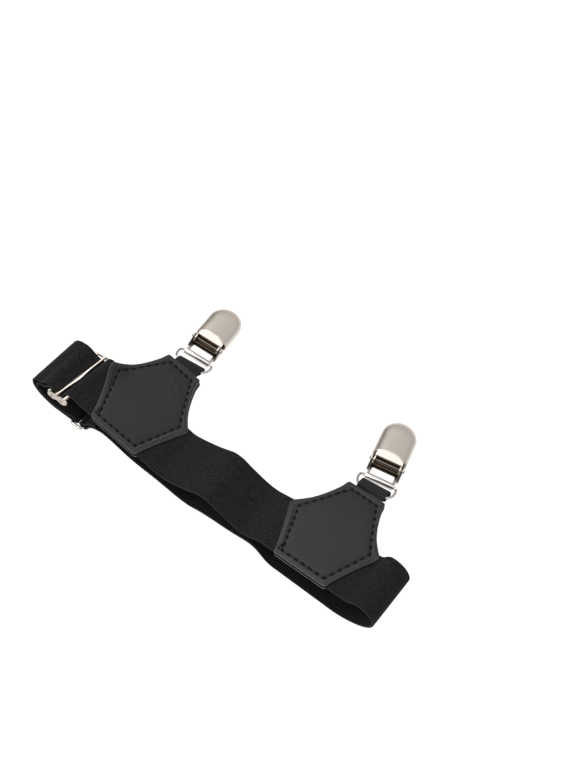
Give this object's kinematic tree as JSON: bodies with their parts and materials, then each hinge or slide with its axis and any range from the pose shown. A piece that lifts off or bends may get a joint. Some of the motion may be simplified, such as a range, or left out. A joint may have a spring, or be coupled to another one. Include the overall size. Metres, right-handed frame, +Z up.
{
  "type": "sock suspender",
  "caption": "Elastic calf band closed into a loop, with a slide adjuster and leather patches that each hang a lever clip from a D-ring.",
  "frame": {"origin": "middle of the bounding box, on the table that the suspender lies on", "axes": "+X along the band from its adjuster fold to its other fold, +Y across the band towards the clips, +Z up from the table"},
  "size_m": [0.1888, 0.0946, 0.0261],
  "materials": {
    "elastic": "matt woven",
    "leather": "smooth, soft gloss",
    "webbing": "matt woven",
    "nickel": "satin nickel"
  },
  "bodies": {
    "suspender": {"band": "elastic", "slide": "nickel", "strap_ring": "nickel", "patch_1_front": "leather", "patch_1_back": "leather", "patch_2_front": "leather", "patch_2_back": "leather", "tab_1": "webbing", "tab_2": "webbing", "d_ring_1": "nickel", "d_ring_2": "nickel", "clip_1_frame": "nickel", "clip_1_pin": "nickel", "clip_2_frame": "nickel", "clip_2_pin": "nickel"},
    "lever_1": {"clip_1_lever": "nickel"},
    "lever_2": {"clip_2_lever": "nickel"}
  },
  "joints": [
    {"name": "lever_1_hinge", "type": "hinge", "parent": "suspender", "child": "lever_1", "pos_m": [-0.04727, 0.02222, 0.0092], "axis": [0.9592, 0.1542, -0.237], "range_deg": [0, 80]},
    {"name": "lever_2_hinge", "type": "hinge", "parent": "suspender", "child": "lever_2", "pos_m": [0.05543, 0.02122, 0.0088], "axis": [0.9596, 0.2461, -0.1363], "range_deg": [0, 80]}
  ]
}
